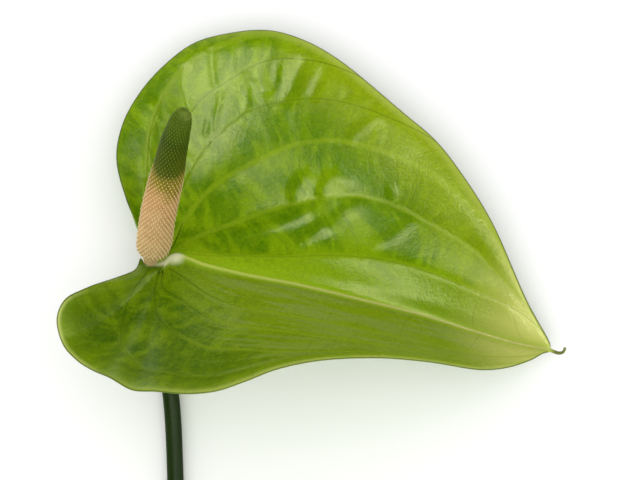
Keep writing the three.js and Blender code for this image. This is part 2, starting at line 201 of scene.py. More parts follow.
# Spadix
SPADIX_AXIS = [
    [-0.45, 0.9, 1.3], [0.85, 4.7, 7.3], [2.85, 12.1, 18.8], [5.7, 19.6, 30.3], [8.3, 26.9, 41.6],
    [11.3, 33.3, 51.3],
]
SPADIX_OUTLINE = [
    [0, 2], [0.045, 2.3], [0.06, 3.4], [0.077, 4.35], [0.1, 4.85], [0.16, 5.05], [0.36, 4.95], [0.59, 4.75],
    [0.81, 4], [0.92, 3.3], [0.965, 2.6], [0.99, 1.4], [1, 0],
]
SPADIX_POLE = [0.996, 0.9985]  # share of the way up of two more rings that close its top
FLORETS_ROUND = 26
FLORETS_LONG = 30
FLORET_GRID = 8  # points across one floret
PILLOW_HEIGHT = 0.14
PILLOW_POWER = 0.45  # the lower, the flatter a floret's top
STIGMA_WIDTH = 0.24  # share of a floret
STIGMA_HEIGHT = 0.12
RIPE_STIGMA_HEIGHT = 0.3  # on top of that, on the lower, ripe florets
RIPE_SPREAD = (0.6, 0.8)  # least share of it, and what chance adds
RIPE_UNTIL = (0.5, 0.72)  # share of the way up
FLORET_SINK = 0.46  # how far the florets' foot lies below the outline
THIN_SPADIX = 2.2  # radius below which the florets shrink
THINNEST = 0.05

# Stem
STEM_PATH = [
    [0, -0.3, -0.25], [0.5, -5, -3.8], [1.4, -12, -7.7], [2.9, -22, -10.6], [5.3, -38, -11.88],
    [6.7, -64, -11.98], [8, -100, -11.93], [8.6, -150, -11.83], [7.2, -195, -11.78], [4.4, -230, -11.73],
]
STEM_RADII = {"neck": 2.85, "middle": 2.35, "cut": 2.6}
STEM_STEPS = 260
STEM_SIDES = 48
STEM_RIDGES = (9, 14)  # two sets of lengthwise ridges, so many round the stem
STEM_RIDGE_HEIGHT = 0.02
STEM_RIDGE_PULSE = (0.4, 40)  # share by which the ridges rise and sink along the stem, and how fast
STEM_FLARE = (0, 0.05)  # share of its length where it narrows from the neck
STEM_SWELL = (0.3, 1)  # and where it widens towards the cut

# Camera, from the photograph's view of the neck
VIEW_ELEVATION = math.radians(80)
VIEW_DISTANCE = 800.0
MM_PER_PIXEL = 0.28  # at the neck
NECK_PIXEL = (152, 265)
IMAGE_SIZE = (640, 480)
SENSOR = 36.0
NEAREST_SEEN = 0.01  # in metres

# Lights, in metres and watts
BLADE_MIDDLE = (0, 0.09, 0.01)  # what they point at
SOFTBOXES = {  # seen in reflections only
    "gloss_softbox": {"towards": (0.08, -0.42, 0.904), "distance": 1.2, "size": 0.85, "power": 44},
    "side_softbox": {"towards": (0.86, -0.13, 0.5), "distance": 1.2, "size": 0.5, "power": 8},
}
CEILING_LIGHT = {"towards": (-0.1, -0.3, 0.95), "distance": 1.6, "size": 2.4, "power": 15}
SURROUNDINGS = 0.85  # strength of the white all round
FLOOR_HALF = 3.0

# Numbers of points and smallest lengths
MARGIN_POINTS = 1600
MIDRIB_POINTS = 800
VEIN_POINTS = 70
AXIS_POINTS = 400  # of the spadix and of the stem
CURVE_STEPS = 40  # between two given points of a curve
WELD_DIGITS = 4  # points that agree so far, in millimetres, are joined
COARSE = 8  # every so many points of a line, where only the distance to it is wanted
SHORTEST = 1e-6

# Colours as displayed, 0 to 255
COLOURS = {
    "far dark": (80, 124, 0),
    "far pale": (126, 162, 2),
    "far margin": (146, 166, 14),
    "far beside midrib with painted light": (150, 184, 24),
    "near dark": (56, 96, 0),
    "near pale": (108, 140, 2),
    "near margin": (120, 150, 8),
    "near tip": (136, 160, 24),
    "near painted sheen streaks": (140, 158, 84),
    "near neck painted shade": (66, 98, 2),
    "mottle": (138, 160, 14),
    "net": (150, 172, 20),
    "stipple": (180, 190, 150),
    "tip": (204, 206, 116),
    "rim": (188, 198, 96),
    "lobe rim": (184, 196, 96),
    "pale vein": (150, 174, 30),
    "dark vein": (48, 72, 2),
    "cross vein": (78, 104, 6),
    "midrib halo": (146, 178, 30),
    "midrib by the neck": (196, 208, 96),
    "midrib by the tip": (200, 190, 126),
    "callus": (224, 224, 182),
    "edge": (74, 84, 30),
    "tail": (78, 80, 40),
    "back dark": (112, 144, 48),
    "back pale": (130, 160, 66),
    "back vein": (160, 180, 96),
    "back midrib": (172, 188, 110),
    "floret shade": (190, 150, 110),
    "painted shade between florets": (150, 110, 70),
    "ripe stigma": (240, 216, 166),
    "green stigma": (118, 132, 40),
    "stem dark": (20, 38, 4),
    "stem pale": (34, 54, 8),
    "stem top": (90, 116, 24),
    "stem speck": (90, 110, 50),
    "stem cut": (150, 168, 96),
}
SPADIX_COLOURS = [  # share of the way up, colour
    (0.0, (211, 187, 132)), (0.3, (208, 172, 120)), (0.48, (200, 158, 102)), (0.56, (146, 130, 34)),
    (0.64, (78, 90, 4)), (0.8, (52, 74, 0)), (0.95, (74, 100, 4)), (1.0, (128, 150, 50)),
]
FLOOR_WHITES = (0.95, 0.97)
PAINTED_FIELDS = (  # the measures that the spathe's colours are worked out from
    "vein", "midrib", "margin", "along", "callus", "neck", "side", "cross", "across", "line", "tone",
)


def smoothstep(low, high, value):
    share = np.clip((value - low) / (high - low), 0, 1)
    return share * share * (3 - 2 * share)


def curve_through(points, count):
    """Evenly spaced points of the centripetal Catmull-Rom curve through the given ones."""
    points = np.array(points, float)
    points = np.vstack([2 * points[0] - points[1], points, 2 * points[-1] - points[-2]])
    pieces = []
    share = np.linspace(0, 1, CURVE_STEPS, endpoint=False)[:, None]
    for i in range(1, len(points) - 2):
        before, start, end, after = points[i - 1:i + 3]
        steps = (start - before, end - start, after - end)
        gaps = [max(np.linalg.norm(step) ** 0.5, 1e-4) for step in steps]
        leave = (start - before) / gaps[0] - (end - before) / (gaps[0] + gaps[1]) + (end - start) / gaps[1]
        arrive = (end - start) / gaps[1] - (after - start) / (gaps[1] + gaps[2]) + (after - end) / gaps[2]
        leave, arrive = leave * gaps[1], arrive * gaps[1]
        pieces.append(start + leave * share + (3 * (end - start) - 2 * leave - arrive) * share ** 2
                      + (2 * (start - end) + leave + arrive) * share ** 3)
    dense = np.vstack(pieces + [points[-2][None]])
    lengths = np.concatenate([[0], np.cumsum(np.linalg.norm(np.diff(dense, axis=0), axis=1))])
    return interpolate(dense, lengths, np.linspace(0, lengths[-1], count))


def interpolate(points, at, wanted):
    return np.stack([np.interp(wanted, at, points[:, k]) for k in range(points.shape[1])], axis=-1)


def along_curve(curve, share):
    return interpolate(curve, np.linspace(0, 1, len(curve)), share)


def neck_points(angle):
    """Points of the spathe's inner edge, round the top of the stem."""
    angle = np.atleast_1d(angle)
    across = np.array([0, math.sin(NECK_RISE), -math.cos(NECK_RISE)])
    ahead = np.array([1.0, 0, 0])
    return NECK_RADIUS * (np.cos(angle)[:, None] * ahead + np.sin(angle)[:, None] * across)


def tail_side(side, share):
    return np.array([0, side * (TAIL_HALF_WIDTH + (TAIL_END_HALF_WIDTH - TAIL_HALF_WIDTH) * share), 0])


class Half:
    """One half of the spathe's blade: side +1 is the far half, side -1 the near one."""

    def __init__(self, side, margin):
        self.side = side
        tip = np.array(TAIL[0]) + tail_side(side, 0)
        notch = neck_points(side * (NOTCH_ANGLE + WRAP[side]))
        self.margin = curve_through(np.vstack([notch, margin, tip]), MARGIN_POINTS)
        self.midrib = curve_through(np.vstack([neck_points(0), MIDRIB]), MIDRIB_POINTS)
        self.veins = [self.vein(shares) for shares in VEINS[side]]

    def feet(self, along):
        on_midrib = np.clip((along - FAN_SHARE) / (1 - FAN_SHARE), 0, 1) ** FOOT_POWER
        left = np.clip(1 - along / FAN_SHARE, 0, 1)
        on_neck = neck_points(self.side * (NOTCH_ANGLE * left + WRAP[self.side] * left ** WRAP_POWER))
        return np.where((along < FAN_SHARE)[:, None], on_neck, along_curve(self.midrib, on_midrib))

    def points(self, along, across):
        """Points of the smooth blade; along runs from notch to tip, across from midrib to margin.

        Below 0, across runs from the middle of the neck, at -1, out to the foot of the blade.
        """
        feet = self.feet(along)
        inner = across < 0
        on_neck = feet * (1 + np.minimum(across, 0))[:, None]
        across = np.maximum(across, 0)
        edges = along_curve(self.margin, along)
        lobe, tip, peak, direction = SAG[self.side]
        share = lobe + (tip - lobe) * smoothstep(*SAG_CHANGE, along)
        profile = (across / peak) * ((1 - across) / (1 - peak)) ** ((1 - peak) / peak)
        depth = share * np.linalg.norm(edges - feet, axis=1) * profile
        blade = feet + (edges - feet) * across[:, None] + depth[:, None] * direction
        return np.where(inner[:, None], on_neck, blade)

    def vein(self, shares):
        plan = curve_through(shares, VEIN_POINTS)
        return {"plan": plan, "line": self.points(plan[:, 0], np.clip(plan[:, 1], 0, 1))}

    def band(self, along, across):
        """How many main veins lie between each point and the midrib."""
        count = np.zeros(len(along), int)
        for vein in self.veins:
            plan = vein["plan"]
            count += across > np.interp(along, plan[:, 0], plan[:, 1], left=-1, right=2)
        return count


def distance_to_line(points, line):
    """Distance from each point to a polyline, and how far along the line its nearest point is."""
    best = np.full(len(points), np.inf)
    at = np.zeros(len(points))
    travelled = 0.0
    for start, end in zip(line[:-1], line[1:]):
        step = end - start
        length = np.linalg.norm(step)
        if length < 1e-9:
            continue
        share = np.clip(((points - start) @ step) / length ** 2, 0, 1)
        distance = np.linalg.norm(points - start - share[:, None] * step, axis=1)
        nearer = distance < best
        best = np.where(nearer, distance, best)
        at = np.where(nearer, travelled + share * length, at)
        travelled += length
    return best, at


def blade_rows(half):
    """Rows of (along, across) places, with fewer points where the blade is narrow."""
    along = np.linspace(0, 1, BLADE_ROWS + 1)
    width = np.linalg.norm(along_curve(half.margin, along) - half.feet(along), axis=1)
    rows = []
    for place, breadth in zip(along, width):
        columns = max(1, round(breadth / BLADE_CELL))
        across = np.linspace(0, 1, columns + 1) if place > 0 else np.zeros(1)
        if place < FAN_SHARE:
            across = np.concatenate([np.arange(-NECK_RINGS, 0) / NECK_RINGS, across])
        rows.append(np.stack([np.full(len(across), place), across], axis=1))
    return rows


def zip_rows(start_a, count_a, start_b, count_b, faces):
    """Triangles between two rows of points that may differ in number."""
    a, b = 0, 0
    while a < count_a - 1 or b < count_b - 1:
        next_a = (a + 1) / max(1, count_a - 1)
        next_b = (b + 1) / max(1, count_b - 1)
        if b == count_b - 1 or (a < count_a - 1 and next_a <= next_b):
            faces.append((start_a + a, start_b + b, start_a + a + 1))
            a += 1
        else:
            faces.append((start_a + a, start_b + b, start_b + b + 1))
            b += 1


def half_surface(half):
    """Points, faces and (along, across) places of one half of the blade with its side of the tail."""
    rows = blade_rows(half)
    places = np.vstack(rows)
    points = half.points(places[:, 0], places[:, 1])
    counts = [len(row) for row in rows]
    middle = curve_through(TAIL, TAIL_STEPS + 1)[1:]
    edge = np.array([point + tail_side(half.side, (i + 1) / TAIL_STEPS) for i, point in enumerate(middle)])
    tail = np.stack([middle, edge], axis=1).reshape(-1, 3)
    counts += [2] * TAIL_STEPS
    points = np.vstack([points, tail])
    places = np.vstack([places, np.tile([[1.0, 0.0], [1.0, 1.0]], (TAIL_STEPS, 1))])
    faces = []
    start = 0
    for count, following in zip(counts[:-1], counts[1:]):
        zip_rows(start, count, start + count, following, faces)
        start += count
    faces = np.array(faces)
    if half.side < 0:
        faces = faces[:, ::-1]
    return points, faces, places


def vertex_normals(points, faces):
    a, b, c = (points[faces[:, k]] for k in range(3))
    normal = np.cross(b - a, c - a)
    total = np.zeros_like(points)
    for k in range(3):
        np.add.at(total, faces[:, k], normal)
    return total / np.maximum(np.linalg.norm(total, axis=1), 1e-12)[:, None]


def troughs(half, band, distances):
    """Depth of the furrows along the main veins; the two slopes of each may differ in width."""
    depths = np.array(VEIN_DEPTHS[half.side])[:, None]
    beyond = band[None] > np.arange(len(half.veins))[:, None]
    inward, outward = np.array(VEIN_WIDTHS[half.side]).T
    widths = np.where(beyond, outward[:, None], inward[:, None])
    aside = np.sqrt((distances / widths) ** 2 + VEIN_ROUND ** 2) - VEIN_ROUND
    return (depths * np.exp(-aside)).sum(axis=0)


def cells(half, points, along, band, travel, across, width):
    """The cells between cross veins: each point's place in its row of cells, and the cell's rise there."""
    rows = len(half.veins) + 1
    offset = RNG.uniform(0, 1, rows)
    slant = RNG.uniform(-CELL_SLANT, CELL_SLANT, rows)
    stray = sum(reach * np.sin(pace * points[:, axis] + shift * band)
                for axis, (reach, pace, shift) in enumerate(CELL_STRAY))
    phase = travel / CELL_LENGTH + offset[band] + slant[band] * (across - 0.5) + stray
    place = phase - np.floor(phase)
    crest = CELL_CREST - CELL_WEDGE * across
    slope = np.minimum(place / crest, (1 - place) / (1 - crest))
    sizes = RNG.uniform(*CELL_SIZES, (rows, CELL_KINDS))
    size = sizes[band, np.floor(phase).astype(int) % CELL_KINDS] * smoothstep(*NARROW_BAND, width)
    fade = 1 - CELL_FADE * smoothstep(*CELL_FADE_ALONG, along)
    rise = np.array(CELL_RISE[half.side])[band] * fade
    return phase, rise * (size * slope * 4 * across * (1 - across) - CELL_BASE)


def vein_fields(half, points, places, margin):
    """What the relief and colour between one half's veins are worked out from, at each point."""
    band = half.band(places[:, 0], places[:, 1])
    measured = [distance_to_line(points, half.midrib[::COARSE])]
    measured += [distance_to_line(points, vein["line"]) for vein in half.veins]
    distances = np.array([distance for distance, _ in measured] + [margin])
    travels = np.array([at for _, at in measured])
    inner = np.take_along_axis(distances, band[None], axis=0)[0]
    outer = np.take_along_axis(distances, band[None] + 1, axis=0)[0]
    travel = np.take_along_axis(travels, band[None], axis=0)[0]
    width = np.maximum(inner + outer, SHORTEST)
    across = inner / width
    phase, dome = cells(half, points, places[:, 0], band, travel, across, width)
    to_veins = distances[1:-1]
    paler = smoothstep(*PALER_FROM_NECK[half.side], np.linalg.norm(points, axis=1))
    tones = np.array(BAND_TONES[half.side])
    beside = tones[np.clip(band + np.where(across < 0.5, -1, 1), 0, len(tones) - 1)]
    return {
        "across": across,
        "line": np.array(VEIN_PALENESS[half.side])[to_veins.argmin(axis=0)] * paler,
        "tone": tones[band] + (beside - tones[band]) * np.abs(across - 0.5),
        # The sign changes at each vein, so that halfway between two points the distance passes through 0
        "vein": np.where(band % 2 == 0, 1, -1) * to_veins.min(axis=0),
        "trough": troughs(half, band, to_veins),
        "cross": phase,
        "dome": dome,
    }


def spathe_fields(points, places, halves, sides):
    """Everything the blade's relief and colour are worked out from, at each point."""
    margins = [distance_to_line(points, half.margin[::COARSE])[0] for half in halves]
    fields = {
        "midrib": distance_to_line(points, halves[0].midrib[::COARSE])[0],
        "margin": np.minimum(*margins),
        "side": sides.astype(float),
        "along": places[:, 0],
        "neck": np.linalg.norm(points, axis=1),
    }
    from_ridge = distance_to_line(points, np.array(CALLUS_RIDGE))[0]
    from_centre = np.linalg.norm(points - CALLUS_CENTRE, axis=1)
    fields["callus"] = np.minimum(from_ridge, from_centre / CALLUS_SPREAD)
    for key in ("vein", "trough", "cross", "dome", "across", "line", "tone"):
        fields[key] = np.zeros(len(points))
    for half in halves:
        chosen = sides == half.side
        found = vein_fields(half, points[chosen], places[chosen], fields["margin"][chosen])
        for key, values in found.items():
            fields[key][chosen] = values
    fields["pucker"] = np.where(sides > 0, puckers(points), 0)
    return fields


def puckers(points):
    """Height of the listed puckers of the far half, each a soft ridge or groove along a line."""
    height = np.zeros(len(points))
    for line, rise, left, right in PUCKERS:
        line = np.array(line, float)
        distance = distance_to_line(points[:, :2], line)[0]
        length = np.linalg.norm(line[-1] - line[0])
        ahead = (line[-1] - line[0]) / length
        aside = points[:, :2] - line[0]
        on_right = ahead[1] * aside[:, 0] - ahead[0] * aside[:, 1] > 0
        reached = aside @ ahead
        beyond = np.maximum(0, np.maximum(-reached, reached - length))
        width = np.where(on_right, right, left)
        height += rise * np.exp(-(distance / width) ** 2 - (beyond / PUCKER_END) ** 2)
    return height


def relief(points, fields):
    """Height of the blade above its smooth shape: troughs at veins, domes between, and a swollen rim."""
    inwards = np.clip(fields["margin"] / RIM_WIDTH, 0, 1)
    calm = smoothstep(*CALM_NECK, fields["neck"]) * smoothstep(0, FOLD_WIDTH, fields["midrib"])
    crease = CREASE_DEPTH * np.exp(-np.abs(fields["vein"]) / CREASE_WIDTH)
    swell = RIM_SWELL * np.sin(math.pi / 2 * inwards)
    return calm * (swell + inwards * (fields["dome"] + fields["pucker"] - fields["trough"] - crease))


def ridge(distance, height, width):
    return height * np.exp(-(distance / width) ** 2)


def open_edges(faces):
    """Directed edges that only one face uses."""
    pairs = np.vstack([faces[:, [0, 1]], faces[:, [1, 2]], faces[:, [2, 0]]])
    known = set(map(tuple, pairs.tolist()))
    return [(a, b) for a, b in pairs.tolist() if (b, a) not in known]


def make_mesh(name, points, faces, attributes):
    mesh = bpy.data.meshes.new(name)
    mesh.from_pydata(((points + NECK) * MM).tolist(), [], [tuple(face) for face in faces])
    for key, values in attributes.items():
        layer = mesh.attributes.new(key, "FLOAT", "POINT")
        layer.data.foreach_set("value", np.asarray(values, np.float32))
    mesh.polygons.foreach_set("use_smooth", [True] * len(mesh.polygons))
    mesh.update()
    piece = bpy.data.objects.new(name, mesh)
    bpy.context.scene.collection.objects.link(piece)
    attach(piece, "root")
    return piece


def blade_sheet(halves):
    """Points, faces, (along, across) places and sides of both halves, joined where they meet."""
    parts = [half_surface(half) for half in halves]
    points = np.vstack([part[0] for part in parts])
    faces = np.vstack([parts[0][1], parts[1][1] + len(parts[0][0])])
    places = np.vstack([part[2] for part in parts])
    sides = np.concatenate([np.full(len(part[0]), half.side) for part, half in zip(parts, halves)])
    rounded = np.round(points, WELD_DIGITS)
    _, first, welded = np.unique(rounded, axis=0, return_index=True, return_inverse=True)
    faces = welded.reshape(-1)[faces]
    whole = (faces[:, 0] != faces[:, 1]) & (faces[:, 1] != faces[:, 2]) & (faces[:, 2] != faces[:, 0])
    return points[first], faces[whole], places[first], sides[first]


def blade_layers(points, faces, fields):
    """The blade's front and back on either side of the sheet, with the ridges that stand on each."""
    normals = vertex_normals(points, faces)
    half_blade = BLADE / 2 * (EDGE_SHARE + (1 - EDGE_SHARE) * smoothstep(0, EDGE_WIDTH, fields["margin"]))
    taper = np.clip((TAIL[0][0] - points[:, 0]) / KEEL_TAPER, 0, 1)
    taper *= smoothstep(*KEEL_START, np.linalg.norm(points, axis=1))
    rib = ridge(fields["midrib"], RIB_HEIGHT, RIB_WIDTH) * taper
    keel = ridge(fields["midrib"], KEEL_HEIGHT, KEEL_WIDTH) * taper
    callus = ridge(np.linalg.norm(points - CALLUS_CENTRE, axis=1), CALLUS_HEIGHT, CALLUS_RADIUS)
    vein_ridge = ridge(fields["vein"], VEIN_RIDGE_HEIGHT, VEIN_RIDGE_WIDTH)
    vein_ridge *= smoothstep(*VEIN_RIDGE_START, fields["margin"])
    front = points + normals * (half_blade + callus + rib)[:, None]
    back = points - normals * (half_blade + keel + vein_ridge)[:, None]
    back[:, 2] = np.maximum(back[:, 2], CONTACT - NECK[2])
    return front, back


def closed_faces(faces, count):
    """Faces of the front, of the back and of the wall between them along the sheet's open edge."""
    walls = []
    for a, b in open_edges(faces):
        walls += [(b, a, a + count), (b, a + count, b + count)]
    return faces.tolist() + (faces[:, ::-1] + count).tolist() + walls


def make_spathe():
    halves = [Half(1, FAR_MARGIN), Half(-1, NEAR_MARGIN)]
    points, faces, places, sides = blade_sheet(halves)
    fields = spathe_fields(points, places, halves, sides)
    points = points + vertex_normals(points, faces) * relief(points, fields)[:, None]
    layers = np.vstack(blade_layers(points, faces, fields))
    attributes = {key: np.tile(fields[key], 2) for key in PAINTED_FIELDS}
    attributes["front"] = np.repeat([1.0, 0.0], len(points))
    spathe = make_mesh("spathe_blade", layers, closed_faces(faces, len(points)), attributes)
    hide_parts("spathe")
    return spathe


def cross_directions(curve):
    """Two directions across a curve at each of its points, which don't twist round it."""
    tangents = np.gradient(curve, axis=0)
    tangents /= np.linalg.norm(tangents, axis=1)[:, None]
    across = np.cross(tangents[0], [1.0, 0, 0])
    across /= np.linalg.norm(across)
    first, second = [], []
    for tangent in tangents:
        across = across - tangent * (across @ tangent)
        across /= np.linalg.norm(across)
        first.append(across)
        second.append(np.cross(tangent, across))
    return np.array(first), np.array(second)


def round_body(curve, radii):
    """Points and faces of a closed round body; radii has a row for each point of the curve."""
    steps, sides = radii.shape
    first, second = cross_directions(curve)
    angle = 2 * math.pi * np.arange(sides) / sides
    rings = (curve[:, None]
             + radii[:, :, None] * np.cos(angle)[None, :, None] * first[:, None]
             + radii[:, :, None] * np.sin(angle)[None, :, None] * second[:, None])
    points = np.vstack([rings.reshape(-1, 3), curve[:1], curve[-1:]])
    faces = []
    for i in range(steps - 1):
        for k in range(sides):
            a, b = i * sides + k, i * sides + (k + 1) % sides
            faces.append((a, b, b + sides, a + sides))
    start, end = steps * sides, steps * sides + 1
    last = (steps - 1) * sides
    for k in range(sides):
        faces.append((start, (k + 1) % sides, k))
        faces.append((end, last + k, last + (k + 1) % sides))
    return points, faces


def with_ends(values, first, last):
    """A round body's values in one row, with those of the two middle points that close its ends."""
    return np.concatenate([values.reshape(-1), [first, last]])


def floret_lattice(share):
    """Each point's pillow and stigma, both 0 to 1, and its floret's random number, on a diamond lattice."""
    round_place = np.arange(FLORETS_ROUND * FLORET_GRID) / FLORET_GRID
    long_place = share * FLORETS_LONG
    diagonal_a = long_place[:, None] + round_place[None]
    diagonal_b = long_place[:, None] - round_place[None]
    cell_a, cell_b = np.round(diagonal_a), np.round(diagonal_b)
    local_a, local_b = diagonal_a - cell_a, diagonal_b - cell_b
    pillow = np.clip(np.cos(math.pi * local_a) * np.cos(math.pi * local_b), 0, 1) ** PILLOW_POWER
    stigma = ridge(np.hypot(local_a, local_b), 1, STIGMA_WIDTH)
    shuffle = RNG.random((4 * FLORETS_LONG, 4 * FLORETS_LONG))
    rows = cell_a.astype(int) % len(shuffle)
    columns = cell_b.astype(int) % len(shuffle)
    return pillow, stigma, shuffle[rows, columns]


def make_spadix():
    rings = FLORETS_LONG * (FLORET_GRID + 1)
    share = np.concatenate([np.linspace(0, 1, rings + 1)[:-1], SPADIX_POLE])
    curve = along_curve(curve_through(SPADIX_AXIS, AXIS_POINTS), share)
    body = np.interp(share, *np.transpose(SPADIX_OUTLINE))
    pillow, stigma, floret = floret_lattice(share)
    ripe = 1 - smoothstep(*RIPE_UNTIL, share)[:, None]
    grown = STIGMA_HEIGHT + RIPE_STIGMA_HEIGHT * ripe * (RIPE_SPREAD[0] + RIPE_SPREAD[1] * floret)
    fade = np.clip(body / THIN_SPADIX, 0, 1)[:, None]
    height = fade * (PILLOW_HEIGHT * pillow + stigma * grown - FLORET_SINK)
    points, faces = round_body(curve, np.maximum(body[:, None] + height, THINNEST))
    attributes = {
        "share": with_ends(np.repeat(share, pillow.shape[1]), 0, 1),
        "pillow": with_ends(pillow, 0, 1),
        "stigma": with_ends(stigma, 0, 0),
        "floret": with_ends(floret, 0, 0),
    }
    spadix = make_mesh("spadix_florets", points, faces, attributes)
    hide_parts("spadix")
    return spadix


def make_stem():
    share = np.linspace(0, 1, STEM_STEPS)
    curve = along_curve(curve_through(STEM_PATH, AXIS_POINTS), share)
    flare = 1 - smoothstep(*STEM_FLARE, share)
    cut = smoothstep(*STEM_SWELL, share)
    body = (STEM_RADII["middle"]
            + (STEM_RADII["neck"] - STEM_RADII["middle"]) * flare
            + (STEM_RADII["cut"] - STEM_RADII["middle"]) * cut)
    angle = 2 * math.pi * np.arange(STEM_SIDES) / STEM_SIDES
    ridges = sum(STEM_RIDGE_HEIGHT * np.sin(count * angle + i)[None] for i, count in enumerate(STEM_RIDGES))
    ridges = ridges * (1 + STEM_RIDGE_PULSE[0] * np.sin(STEM_RIDGE_PULSE[1] * share)[:, None])
    points, faces = round_body(curve, body[:, None] + ridges - 2 * STEM_RIDGE_HEIGHT)
    attributes = {"share": with_ends(np.repeat(share, STEM_SIDES), 0, 1)}
    stem = make_mesh("stem_stalk", points, faces, attributes)
    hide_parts("stem")
    return stem


class Graph:
    """A material's node tree, with short calls for the nodes that the finishes use."""

    def __init__(self, name):
        self.material = bpy.data.materials.new(name)
        self.material.use_nodes = True
        self.tree = self.material.node_tree
        self.shader = self.tree.nodes["Principled BSDF"]
        self.measures = {}

    def node(self, kind, inputs=None, **settings):
        node = self.tree.nodes.new(kind)
        for key, value in settings.items():
            setattr(node, key, value)
        for key, value in (inputs or {}).items():
            self.plug(value, node.inputs[key])
        return node

    def plug(self, value, socket):
        if isinstance(value, bpy.types.NodeSocket):
            self.tree.links.new(value, socket)
        else:
            socket.default_value = value

    def measure(self, name):
        """One of the values that the mesh carries at each of its points."""
        if name not in self.measures:
            self.measures[name] = self.node("ShaderNodeAttribute", attribute_name=name).outputs["Fac"]
        return self.measures[name]

    def math(self, operation, *values):
        return self.node("ShaderNodeMath", dict(enumerate(values)), operation=operation).outputs[0]

    def plus(self, first, second):
        return self.math("ADD", first, second)

    def minus(self, first, second):
        return self.math("SUBTRACT", first, second)

    def times(self, first, second):
        return self.math("MULTIPLY", first, second)

    def size(self, value):
        return self.math("ABSOLUTE", value)

    def place(self, x, y, z=0.0):
        return self.node("ShaderNodeCombineXYZ", {"X": x, "Y": y, "Z": z}).outputs[0]

    def between(self, value, low, high, start=0.0, end=1.0):
        """Smoothly maps a value from low..high to start..end."""
        inputs = {"Value": value, "From Min": low, "From Max": high, "To Min": start, "To Max": end}
        return self.node("ShaderNodeMapRange", inputs, interpolation_type="SMOOTHSTEP").outputs["Result"]

    def fade(self, value, full, none, strength=1.0):
        """Keeps its strength up to the value full, and is gone at the value none."""
        return self.between(value, full, none, strength, 0.0)

    def mix(self, share, first, second, blend="MIX"):
        node = self.node("ShaderNodeMix", data_type="RGBA", blend_type=blend)
        self.plug(share, node.inputs[0])
        self.plug(first, node.inputs[6])
        self.plug(second, node.inputs[7])
        return node.outputs[2]

    def own_place(self):
        return self.node("ShaderNodeTexCoord").outputs["Object"]

    def noise(self, scale, detail=3.0, roughness=0.5, stretch=None, place=None):
        if place is None:
            place = self.own_place()
        if stretch:
            place = self.node("ShaderNodeMapping", {"Vector": place, "Scale": stretch}).outputs[0]
        inputs = {"Vector": place, "Scale": scale, "Detail": detail, "Roughness": roughness}
        return self.node("ShaderNodeTexNoise", inputs).outputs["Fac"]

    def net(self, scale, width, strength):
        """A net of fine lines: full strength on the lines, 0 between them."""
        inputs = {"Vector": self.own_place(), "Scale": scale, "Randomness": 1.0}
        edge = self.node("ShaderNodeTexVoronoi", inputs, feature="DISTANCE_TO_EDGE").outputs["Distance"]
        return self.fade(edge, 0.0, width, strength)

    def finish(self, body, roughness, height=None, depth=0.0, **fixed):
        """Wires up the shader; depth in metres is that of the bumps, and fixed holds its other sockets."""
        self.plug(body, self.shader.inputs["Base Color"])
        self.plug(roughness, self.shader.inputs["Roughness"])
        for key, value in fixed.items():
            self.shader.inputs[key.replace("_", " ")].default_value = value
        if height is not None:
            bump = self.node("ShaderNodeBump", {"Height": height, "Distance": depth, "Strength": 1.0})
            self.tree.links.new(bump.outputs["Normal"], self.shader.inputs["Normal"])
        return self.material


def linear(displayed):
    """A linear colour from display values of 0 to 255."""
    shares = [value / 255 for value in displayed]
    lit = [share / 12.92 if share <= 0.04045 else ((share + 0.055) / 1.055) ** 2.4 for share in shares]
    return (*lit, 1.0)


def colour(name):
    return linear(COLOURS[name])


def spathe_material():
    """The waxy blade. Distances are in millimetres, and along is the share of the way to the tip."""
    graph = Graph("spathe_waxy_green")
    vein = graph.size(graph.measure("vein"))
    far = graph.between(graph.measure("side"), -1.0, 1.0)
    near = graph.minus(1.0, far)
    patches = graph.noise(60, 4.0, 0.6)
    mottle = graph.noise(420, 5.0, 0.7)
    stipple = graph.noise(1300, 3.0, 0.7)
    tone = band_tone(graph, vein, patches)
    body = graph.mix(far, near_tint(graph, tone), far_tint(graph, tone))
    body = grained(graph, body, mottle, stipple)
    body = with_pale_edges(graph, body, near)
    body = with_veins(graph, body, vein)
    body = with_midrib(graph, body)
    body = graph.mix(graph.measure("front"), back_tint(graph, vein, patches), body)
    gloss = graph.between(patches, 0.3, 0.7, 0.14, 0.2)
    roughness = graph.plus(gloss, graph.times(near, 0.1))
    height = graph.plus(stipple, mottle)
    return graph.finish(body, roughness, height, depth=0.00011, Specular_IOR_Level=0.14,
                        Specular_Tint=(1.0, 0.9, 0.62, 1.0))


def clear_of_vein(graph, vein):
    return graph.between(vein, 0.4, 1.4)


def band_tone(graph, vein, patches):
    """How pale the green is: by band between main veins, with streaks across it and soft patches."""
    place = graph.place(graph.times(graph.measure("cross"), 3.0), graph.measure("across"))
    streak = graph.between(graph.noise(1.0, 4.0, place=place), 0.35, 0.65, -0.3, 0.3)
    tone = graph.plus(graph.measure("tone"), graph.times(streak, clear_of_vein(graph, vein)))
    return graph.plus(tone, graph.between(patches, 0.25, 0.75, -0.3, 0.3))


def far_tint(graph, tone):
    """The far half's green, yellower towards the margin, and paler beside the midrib: partly its own colour
    there, partly painted light that lifts the near half's shade.
    """
    along = graph.measure("along")
    tint = graph.mix(graph.between(tone, 0.0, 0.9), colour("far dark"), colour("far pale"))
    yellow = graph.times(graph.fade(graph.measure("margin"), 3.0, 24.0, 0.7), graph.between(along, 0.4, 0.55))
    tint = graph.mix(yellow, tint, colour("far margin"))
    # Paler green beside the midrib: partly its own colour, partly painted light that lifts the shade the near
    # half casts there.
    beside_midrib_painted_light = graph.fade(graph.measure("midrib"), 2.0, 10.0, 0.6)
    beside_midrib_painted_light = graph.times(beside_midrib_painted_light, graph.between(along, 0.6, 0.75, 1.0, 0.2))
    return graph.mix(beside_midrib_painted_light, tint, colour("far beside midrib with painted light"))


